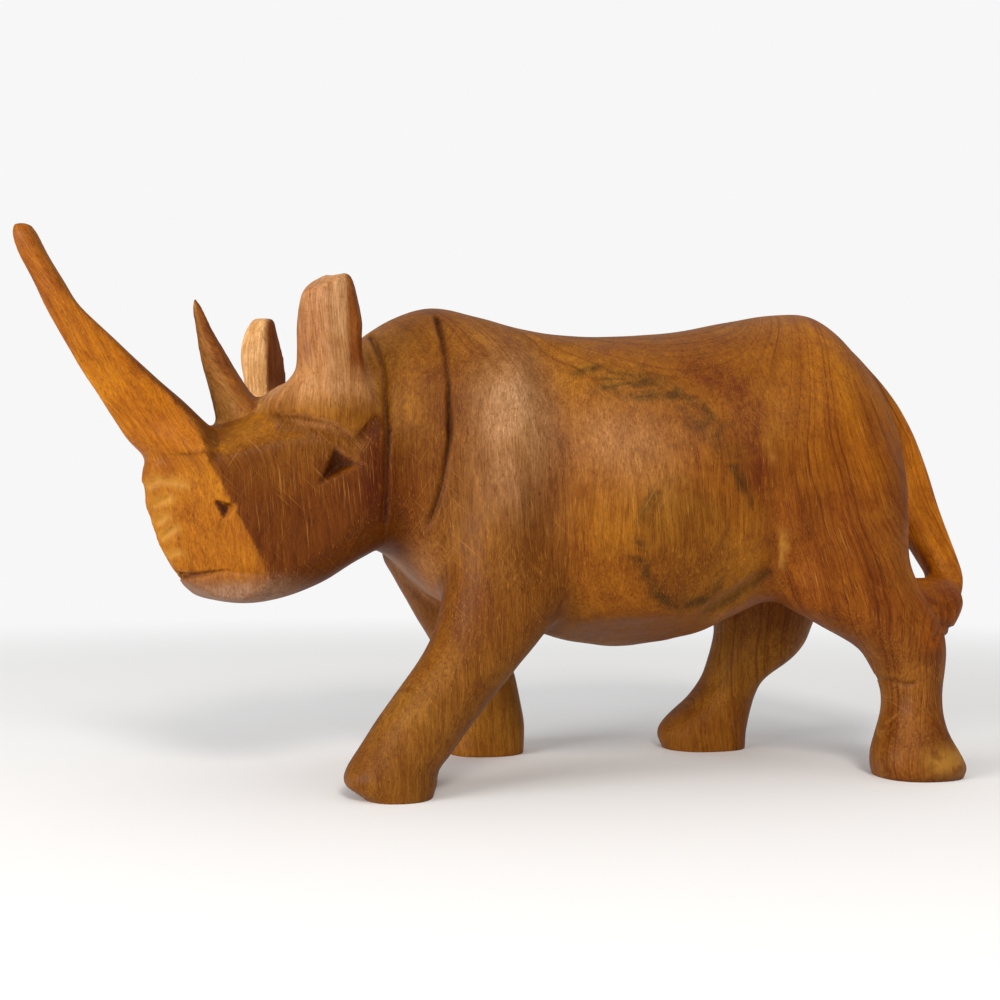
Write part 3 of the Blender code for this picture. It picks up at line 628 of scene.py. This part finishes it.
def paint(mesh):
    """The block's broad colours where it is cut through, with painted light and shade on some faces, stains,
    rings and painted shade in the cuts, kept in the skin.
    """
    points = get_points(mesh)
    normals = get_normals(mesh)
    x, y, z = points.T
    forward, left, height = head_places(points)
    outer = np.abs(left)
    faces_front = normals @ MUZZLEWARD
    faces_up = normals[:, 2]
    in_head = fade(forward, 4.0, 12.0) * fade(height, 44.0, 49.0)
    horn_line = 58.5 + 0.65 * np.maximum(height - 98.0, 0.0)
    on_long_horn = fade(height, 88.0, 90.5) * fade(forward - horn_line, -0.6, 0.6)
    above_foot = fade(height - np.interp(forward, *np.transpose(EAR_FOOT)), -0.8, 0.8)
    on_skull = fade(forward, 16.0, 23.0)
    on_brow = on_skull * above_foot + (1.0 - on_skull) * fade(height, 86.0, 108.0)
    on_legs = fade(z, 50.0, 30.0)
    on_crest = fade(outer, 4.0, 8.0) * fade(forward, 33.0, 38.0)
    on_ears = in_head * above_foot * fade(height, 98.5, 107.0) * fade(forward, 18.0, 22.0)
    on_ears = on_ears * np.maximum(fade(outer, 9.0, 12.0), on_crest)
    on_short_horn = fade(height, 92.0, 98.0) * fade(forward, 36.0, 41.0) * fade(outer, 10.0, 8.0)
    behind_jowl = swell(x, z, ((-38.5, 96.0), (-39.0, 76.0)), 3.2, 1.0) * (np.abs(y) > 9.0)
    # Painted sheen: soft pale places on shoulder and upper flank that stand in for the flank lamp's
    # highlight.
    sheen_painted_shoulder = np.exp(-((x + 2.0) / 9.0) ** 2 - ((z - 97.0) / 17.0) ** 2)
    sheen_painted_flank = np.exp(-((x - 27.0) / 17.0) ** 2 - ((z - 92.0) / 11.0) ** 2)
    tint = np.tile(np.array(PLAIN_WOOD), (len(points), 1))
    broad_colours = (
        # The body: its front, what faces up, the chest below in painted bounce light, the rump, the thigh,
        # painted sheen.
        ((0.150, 0.048, 0.003), fade(x, 18.0, 8.0)),
        ((0.240, 0.082, 0.003), fade(faces_up, 0.2, 0.8)),
        # Painted bounce light: the chest's downward faces are paler, in place of light from the floor below.
        ((0.330, 0.132, 0.038), fade(faces_up, -0.2, -0.7) * fade(x, 5.0, -10.0)),
        ((0.300, 0.098, 0.003), fade(x, 68.0, 92.0) * fade(z, 58.0, 80.0)),
        ((0.222, 0.066, 0.004), fade(x, 60.0, 72.0) * fade(z, 92.0, 70.0)),
        # Painted sheen on shoulder and upper flank: a greyish light tone in place of a highlight.
        ((0.440, 0.245, 0.125), np.maximum(0.85 * sheen_painted_shoulder, 0.30 * sheen_painted_flank) * (np.abs(y) > 18.0)),
        # The front legs, the hind legs and the two far ones in painted fill light, then the tuft and the
        # strap of the tail.
        ((0.190, 0.071, 0.007), on_legs * fade(x, 40.0, 20.0)),
        ((0.195, 0.065, 0.007), on_legs * fade(x, 20.0, 40.0)),
        # Painted fill light: the two far legs are lighter, in place of light that the body's shadow keeps off
        # them.
        ((0.265, 0.098, 0.008), on_legs * fade(y, 0.0, 12.0)),
        ((0.260, 0.073, 0.003), fade(x, 109.0, 114.0) * fade(z, 34.0, 38.0) * fade(z, 58.0, 53.0)),
        ((0.440, 0.140, 0.004), fade(x, 118.0, 124.0) * fade(z, 50.0, 56.0)),
        # The head: the cheek, partly painted shade, the band behind the jowl, the chin in painted bounce
        # light, the front of the muzzle and the brow.
        # The lower head and cheek darker: partly the wood's tone, partly painted shade on the side turned
        # from the lamp.
        ((0.125, 0.032, 0.001), in_head * fade(height, 98.0, 80.0)),
        # The band behind the jowl, dark and reddish: partly the wood's tone, partly painted shade in the
        # hollow by the neck.
        ((0.090, 0.015, 0.001), 0.85 * behind_jowl),
        # Painted bounce light: the chin is paler below, in place of light from the floor.
        ((0.300, 0.175, 0.115), 0.7 * in_head * fade(height, 60.0, 54.0) * fade(forward, 30.0, 46.0)),
        # The front plane of the muzzle, golden: partly the wood's yellower tone, partly painted light on the
        # plane facing the lamp.
        ((0.340, 0.118, 0.002), fade(faces_front, 0.42, 0.58) * fade(forward, 46.0, 54.0)
                                * fade(height, 54.0, 60.0)),
        ((0.240, 0.088, 0.008), in_head * on_brow * (forward < 50.0)),
        # The ears: a paler tan, painted shade on the near one, painted light on the flat of the far one,
        # painted shade on their rears.
        ((0.390, 0.185, 0.072), on_ears),
        # Painted shade on the front of the near ear.
        ((0.280, 0.110, 0.040), 0.6 * on_ears * fade(left, 10.0, 14.0) * fade(forward, 32.0, 37.0)
                                * fade(height, 108.0, 116.0)),
        # Painted light: the far ear's flat that faces the front is made much lighter.
        ((0.720, 0.430, 0.205), on_ears * fade(left, -8.0, -12.0) * fade(faces_front, 0.0, 0.4)),
        # Painted shade on the rear faces and rear strips of both ears.
        ((0.180, 0.047, 0.006), on_ears * fade(height, 106.0, 114.0)
                                * np.maximum(fade(faces_front, -0.1, -0.5), fade(forward, 30.0, 28.2))),
        # The short horn in painted shade and its front flat in painted light, then the long one, its upper
        # part and its rear flat in painted shade.
        # Painted shade over the short horn, then painted light on its front flat.
        ((0.195, 0.057, 0.005), on_short_horn),
        ((0.350, 0.145, 0.032), on_short_horn * fade(faces_front, 0.45, 0.70)),
        ((0.375, 0.125, 0.002), on_long_horn),
        ((0.320, 0.102, 0.002), on_long_horn * fade(height, 106.0, 122.0)),
        # Painted shade on the long horn's rear flat, the side turned from the lamp.
        ((0.170, 0.055, 0.002), on_long_horn * fade(faces_front, 0.25, 0.05) * fade(height, 118.0, 104.0)))
    for colour, share in broad_colours:
        tint += share[:, None] * (np.array(colour) - tint)
    (loop_x, loop_z), (half_x, half_z) = LOOP
    across, up = (x - loop_x) / half_x, (z - loop_z) / half_z
    in_loop = fade(np.hypot(across, up), 1.1, 0.7) * (y < 0.0)
    tint *= 1.0 - in_loop[:, None] * np.array((0.20, 0.16, 0.10))
    keep(mesh, "tint", tint)
    keep(mesh, "grain", grain_places(points))

    near_flank = fade(y, -14.0, -22.0)
    off_loop = (np.hypot(across, up) - 1.0) * 15.0
    below_left = np.cos(np.arctan2(up, across) - math.radians(225.0))
    stains_and_crease_shade = swell(off_loop, 0.0 * z, ((-0.1, 0.0), (0.1, 0.0)), 1.5, 1.0) * fade(below_left, -0.9, 0.4)
    wandering = z + 0.8 * np.sin(0.5 * x + 0.11 * z) + 0.4 * np.sin(1.25 * x)
    for line in STAIN_LINES:
        stains_and_crease_shade = np.maximum(stains_and_crease_shade, swell(x, wandering, line, 1.1, 0.9))
    # Painted shade: darker also along the groin crease.
    stains_and_crease_shade = np.maximum(stains_and_crease_shade, swell(x, z, GROIN_CREASE, 1.6, 0.8) * fade(x, 46.0, 54.0))
    plum = swell(x, z, PLUM_LINE, 4.2, 1.0)
    raw_wood_and_sheen = near_flank * np.maximum.reduce([swell(x, z, line, 0.55, 0.9) for line in RAW_LINES])
    chips = [swell(outer, height, line, 1.5, 0.8) for line, _, _ in SNOUT_WRINKLES]
    raw_wood_and_sheen = np.maximum(raw_wood_and_sheen, np.maximum.reduce(chips) * (forward > 62.0) * (height < 86.0))
    # A pale patch on the front of the near hind foot: partly paler wood, partly painted sheen.
    raw_wood_and_sheen = np.maximum(raw_wood_and_sheen, swell(x, z, ((114.0, 5.5), (121.0, 6.0)), 3.6, 0.9) * near_flank)
    keep(mesh, "marks", np.column_stack((stains_and_crease_shade * near_flank, plum * near_flank, raw_wood_and_sheen)))
    keep(mesh, "rings", np.maximum(fade(x, 62.0, 82.0), fade(faces_up, 0.3, 0.8)) * (1.0 - in_head))
    # Painted shade: how far the colour is darkened in the knife cuts, where shade falls.
    keep(mesh, "cut", fade(knife_cuts(points), 0.3, 1.4))


def wood():
    """Oiled wood, in the units of the layout: the skin's broad colours, rings round a pith and fibres."""
    material = bpy.data.materials.new("oiled_wood")
    material.use_nodes = True
    tree = material.node_tree
    shader = tree.nodes["Principled BSDF"]

    def step(kind, inputs=(), **settings):
        """One shader node: settings are its own, inputs are pairs of a socket and a value or a link."""
        made = tree.nodes.new("ShaderNode" + kind)
        for name, value in settings.items():
            setattr(made, name, value)
        for socket, value in inputs:
            if isinstance(value, bpy.types.NodeSocket):
                tree.links.new(value, made.inputs[socket])
            else:
                made.inputs[socket].default_value = value
        return made

    def kept(name, output="Fac"):
        """What the skin keeps under a name: a number, or a vector or colour."""
        return step("Attribute", attribute_name=name).outputs[output]

    def calc(operation, first, second=0.0):
        return step("Math", ((0, first), (1, second)), operation=operation).outputs[0]

    def ranged(value, low, high, to_low=0.0, to_high=1.0):
        """A smooth ramp from one range to another."""
        inputs = (("Value", value), ("From Min", low), ("From Max", high),
                  ("To Min", to_low), ("To Max", to_high))
        return step("MapRange", inputs, interpolation_type="SMOOTHSTEP").outputs[0]

    def blended(share, first, second, kind="MIX"):
        made = step("Mix", ((0, share), (6, first), (7, second)), data_type="RGBA", blend_type=kind)
        return made.outputs[2]

    def turned(vector, scale, rotation=(0.0, 0.0, 0.0), location=(0.0, 0.0, 0.0)):
        inputs = (("Vector", vector), ("Scale", scale), ("Rotation", rotation), ("Location", location))
        return step("Mapping", inputs).outputs[0]

    def cloud(vector, size, detail=2.0, roughness=0.5):
        """Noise with spots of about the given size."""
        inputs = (("Vector", vector), ("Scale", 1.0 / size), ("Detail", detail), ("Roughness", roughness))
        return step("TexNoise", inputs).outputs["Fac"]

    def streaks(vector, lean, width, length, detail=2.0, deep=None):
        """Noise drawn out into upright streaks that lean over by an angle in the plane of the flank."""
        leaned = turned(vector, (1.0, 1.0, 1.0), (0.0, lean, 0.0))
        return cloud(turned(leaned, (1.0 / width, 1.0 / (deep or width), 1.0 / length)), 1.0, detail, 0.55)

    place = turned(step("TexCoord").outputs["Object"], (1 / UNIT,) * 3, location=tuple(BOX_MIDDLE))
    grain = kept("grain", "Vector")
    bend = step("TexNoise", (("Vector", place), ("Scale", 0.022), ("Detail", 2.0))).outputs["Color"]
    bend_inputs = ((0, bend), (1, (9.0, 9.0, 0.0)), (2, grain))
    bent = step("VectorMath", bend_inputs, operation="MULTIPLY_ADD").outputs[0]
    pith_plane = turned(bent, (1.0, 1.0, 0.05), location=(-55.0, -28.0, 0.0))
    from_pith = step("VectorMath", ((0, pith_plane),), operation="LENGTH").outputs["Value"]

    def ring_bands(width, detail):
        inputs = (("W", calc("DIVIDE", from_pith, width)), ("Scale", 1.0), ("Detail", detail))
        return step("TexNoise", inputs, noise_dimensions="1D").outputs["Fac"]

    thin_rings, wide_rings = ring_bands(1.1, 2.0), ring_bands(5.5, 1.0)
    patches, mottle, grit = cloud(place, 34.0, 2.0), cloud(place, 6.0, 3.0, 0.6), cloud(place, 0.7, 2.0)
    fibres = streaks(bent, 0.0, 0.38, 9.0, 3.0)
    cords = streaks(bent, 0.03, 1.6, 34.0)
    pores = streaks(bent, 0.0, 0.24, 2.6, 1.0)
    upright_scratches = streaks(grain, 0.10, 0.24, 13.0, 1.0)
    slanting_scratches = streaks(place, -0.55, 0.26, 15.0, 1.0, 18.0)
    crossing_scratches = streaks(place, 0.80, 0.26, 13.0, 1.0, 14.0)

    def shaded(colour, share, tone):
        """The colour multiplied by a tone, by a share."""
        return blended(share, colour, tone + (1.0,), "MULTIPLY")

    colour = kept("tint", "Vector")
    ring_share = ranged(kept("rings"), 0.0, 1.0, 0.25, 1.0)
    colour = shaded(colour, ranged(patches, 0.60, 0.38), (0.84, 0.76, 0.62))
    colour = shaded(colour, ranged(patches, 0.52, 0.70), (1.12, 1.20, 1.35))
    colour = shaded(colour, calc("MULTIPLY", ring_share, ranged(wide_rings, 0.60, 0.36)), (0.86, 0.80, 0.70))
    colour = shaded(colour, calc("MULTIPLY", ring_share, ranged(thin_rings, 0.46, 0.28)), (0.72, 0.64, 0.52))
    colour = shaded(colour, ranged(cords, 0.56, 0.34), (0.85, 0.79, 0.68))
    colour = shaded(colour, ranged(cords, 0.54, 0.72), (1.14, 1.16, 1.2))
    colour = shaded(colour, ranged(fibres, 0.54, 0.28), (0.72, 0.64, 0.52))
    colour = shaded(colour, ranged(fibres, 0.52, 0.74), (1.30, 1.36, 1.5))
    colour = shaded(colour, ranged(mottle, 0.55, 0.34), (0.86, 0.80, 0.70))
    colour = shaded(colour, ranged(grit, 0.50, 0.30), (0.86, 0.82, 0.75))
    colour = shaded(colour, ranged(pores, 0.60, 0.74, 0.0, 0.7), (0.45, 0.38, 0.30))

    marks = step("SeparateXYZ", ((0, kept("marks", "Vector")),)).outputs
    broken = ranged(cloud(place, 5.0, 3.0), 0.32, 0.56, 0.5, 1.0)
    plum_share = calc("MULTIPLY", marks["Y"], ranged(mottle, 0.36, 0.52, 0.3))
    colour = shaded(colour, plum_share, (0.50, 0.30, 0.55))
    # The stains, and painted shade along the groin crease.
    colour = shaded(colour, calc("MULTIPLY", marks["X"], broken), (0.24, 0.30, 0.45))
    scratch_tan = (0.42, 0.19, 0.035, 1.0)
    colour = blended(ranged(upright_scratches, 0.62, 0.77, 0.0, 0.40), colour, scratch_tan)
    scuffed = ranged(patches, 0.40, 0.58, 0.15, 1.0)
    for scratches in (slanting_scratches, crossing_scratches):
        share = calc("MULTIPLY", scuffed, ranged(scratches, 0.64, 0.78, 0.0, 0.28))
        colour = blended(share, colour, scratch_tan)
    # Pale raw wood at chips and cuts, and painted sheen on the near hind foot.
    raw_wood_and_sheen_share = calc("MULTIPLY", marks["Z"], ranged(broken, 0.45, 1.0, 0.2, 0.7))
    colour = blended(raw_wood_and_sheen_share, colour, (0.42, 0.20, 0.03, 1.0))
    # Painted shade in the knife cuts, eye, nostril and mouth.
    colour = shaded(colour, kept("cut"), (0.36, 0.28, 0.26))
    tree.links.new(colour, shader.inputs["Base Color"])

    roughness = calc("ADD", ranged(mottle, 0.3, 0.7, 0.38, 0.48), ranged(fibres, 0.3, 0.7, 0.0, 0.08))
    tree.links.new(roughness, shader.inputs["Roughness"])
    shader.inputs["Specular IOR Level"].default_value = 0.09
    relief = calc("SUBTRACT", calc("ADD", fibres, calc("MULTIPLY", grit, 0.5)), calc("MULTIPLY", pores, 0.6))
    bump = step("Bump", (("Strength", 0.30), ("Distance", 0.0003), ("Height", relief)))
    tree.links.new(bump.outputs[0], shader.inputs["Normal"])
    return material


def carved_rhinoceros():
    """The whole animal as one piece, in its place."""
    crisp = [head()] + horns() + ears()
    skin = reskinned(closed_mesh([trunk()] + legs() + tail() + crisp), COARSE)
    ease(skin, rounds=60, fill=0.5, trim=0.04)
    ease(skin, rounds=5, fill=0.3, trim=0.3)
    plane_flats(skin)
    skin = reskinned(closed_mesh(crisp, skin), FINE)
    polished(skin, rounds=5, share=0.5)
    plane_flats(skin)
    model_flanks(skin)
    skin = thinned(skin, carve(skin))
    soles_cut_flat(skin)
    paint(skin)
    set_points(skin, (get_points(skin) - BOX_MIDDLE) * UNIT)
    skin.shade_smooth()
    skin.materials.append(wood())
    piece = bpy.data.objects.new("carved_rhinoceros", skin)
    bpy.context.scene.collection.objects.link(piece)
    return piece


figure = carved_rhinoceros()
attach(figure, "root")
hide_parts("rhinoceros")

# Floor. A wide sheet of matt white card under the feet. Away from the animal it runs out into plain white.
FLOOR_REACH = 6.0
WHITE = 0.93                        # the plain white all round
CARD_ENDS, WHITE_BEGINS = 0.2, 0.8  # distances from the middle of the animal


def floor():
    mesh = bpy.data.meshes.new("floor")
    corners = [(-FLOOR_REACH, -FLOOR_REACH, 0), (FLOOR_REACH, -FLOOR_REACH, 0),
               (FLOOR_REACH, FLOOR_REACH, 0), (-FLOOR_REACH, FLOOR_REACH, 0)]
    mesh.from_pydata(corners, [], [(0, 1, 2, 3)])
    card = bpy.data.materials.new("white_card")
    card.use_nodes = True
    nodes, links = card.node_tree.nodes, card.node_tree.links
    shader = nodes["Principled BSDF"]
    shader.inputs["Base Color"].default_value = (0.88, 0.88, 0.88, 1.0)
    shader.inputs["Roughness"].default_value = 0.9
    shader.inputs["Specular IOR Level"].default_value = 0.1
    white = nodes.new("ShaderNodeEmission")
    white.inputs["Strength"].default_value = WHITE
    length = nodes.new("ShaderNodeVectorMath")
    length.operation = "LENGTH"
    links.new(nodes.new("ShaderNodeTexCoord").outputs["Object"], length.inputs[0])
    away = nodes.new("ShaderNodeMapRange")
    away.interpolation_type = "SMOOTHSTEP"
    away.inputs["From Min"].default_value = CARD_ENDS
    away.inputs["From Max"].default_value = WHITE_BEGINS
    links.new(length.outputs["Value"], away.inputs["Value"])
    both = nodes.new("ShaderNodeMixShader")
    links.new(away.outputs[0], both.inputs[0])
    links.new(shader.outputs[0], both.inputs[1])
    links.new(white.outputs[0], both.inputs[2])
    links.new(both.outputs[0], nodes["Material Output"].inputs["Surface"])
    mesh.materials.append(card)
    sheet = bpy.data.objects.new("floor", mesh)
    bpy.context.scene.collection.objects.link(sheet)
    return sheet


floor()

# Light. A pale room, brighter overhead and in front than behind. A broad soft lamp stands level with the
# head on its left, and a small one in front of and above the flank gives the flank its sheen.
def soft_lamp(name, toward, distance, width, power, colour=(1.0, 1.0, 1.0)):
    """A square lamp that faces the middle of the animal from the direction `toward`, sizes in metres."""
    toward = np.asarray(toward, float) / np.linalg.norm(toward)
    light = bpy.data.lights.new(name, "AREA")
    light.size = width
    light.energy = power
    light.color = colour
    lamp = bpy.data.objects.new(name, light)
    lamp.location = toward * distance + np.array((0.0, 0.0, 0.07))
    level = math.hypot(toward[0], toward[1])
    lamp.rotation_euler = (math.atan2(level, toward[2]), 0.0, math.atan2(toward[1], toward[0]) + math.pi / 2)
    bpy.context.scene.collection.objects.link(lamp)
    return lamp


soft_lamp("head_lamp", (-0.87, -0.46, 0.08), 1.1, 0.6, 16.0)
soft_lamp("flank_lamp", (0.02, -0.85, 0.55), 1.0, 0.24, 5.0, (1.0, 0.95, 0.88))

ROOM_LIGHT = 0.10                   # from every side, then what overhead and the front add to it
OVERHEAD_LIGHT = 0.75
FRONT_LIGHT = 0.10


def pale_room():
    """Light from all round that grows with the height and towards the front. The camera sees plain white."""
    world = bpy.data.worlds.new("pale_room")
    world.use_nodes = True
    nodes, links = world.node_tree.nodes, world.node_tree.links

    def calc(operation, first, second):
        made = nodes.new("ShaderNodeMath")
        made.operation = operation
        for socket, value in zip(made.inputs, (first, second)):
            if isinstance(value, bpy.types.NodeSocket):
                links.new(value, socket)
            else:
                socket.default_value = value
        return made.outputs[0]

    direction = nodes.new("ShaderNodeSeparateXYZ")
    links.new(nodes.new("ShaderNodeTexCoord").outputs["Generated"], direction.inputs[0])
    overhead = calc("MULTIPLY", calc("MAXIMUM", direction.outputs["Z"], 0.0), OVERHEAD_LIGHT)
    front = calc("MULTIPLY", calc("MINIMUM", direction.outputs["Y"], 0.0), -FRONT_LIGHT)
    room = nodes["Background"]
    links.new(calc("ADD", calc("ADD", overhead, front), ROOM_LIGHT), room.inputs["Strength"])
    white = nodes.new("ShaderNodeBackground")
    for background in (room, white):
        background.inputs["Color"].default_value = (1.0, 1.0, 1.0, 1.0)
    white.inputs["Strength"].default_value = WHITE
    seen = nodes.new("ShaderNodeMixShader")
    links.new(nodes.new("ShaderNodeLightPath").outputs["Is Camera Ray"], seen.inputs[0])
    links.new(room.outputs[0], seen.inputs[1])
    links.new(white.outputs[0], seen.inputs[2])
    links.new(seen.outputs[0], nodes["World Output"].inputs[0])
    return world


bpy.context.scene.world = pale_room()
bpy.context.scene.view_settings.view_transform = "Standard"

# Camera. It stands level with the flank, a little to the head's side, and looks very slightly up.
CAMERA_TURN = math.radians(10.0)
CAMERA_TILT = math.radians(2.2)
CAMERA_BACK = 348.0                 # from the point under the shoulder, in units
CAMERA_HEIGHT = 64.3
LENS = 43.2                         # millimetres, on a sensor 36 wide

looking = np.array((math.sin(CAMERA_TURN), math.cos(CAMERA_TURN), 0.0))
camera = bpy.data.objects.new("camera", bpy.data.cameras.new("camera"))
camera.location = (CAMERA_HEIGHT * Z - CAMERA_BACK * looking - BOX_MIDDLE) * UNIT
camera.rotation_euler = (math.pi / 2 + CAMERA_TILT, 0.0, -CAMERA_TURN)
camera.data.lens = LENS
camera.data.sensor_width = 36.0
camera.data.clip_start = 0.01
bpy.context.scene.collection.objects.link(camera)
bpy.context.scene.camera = camera
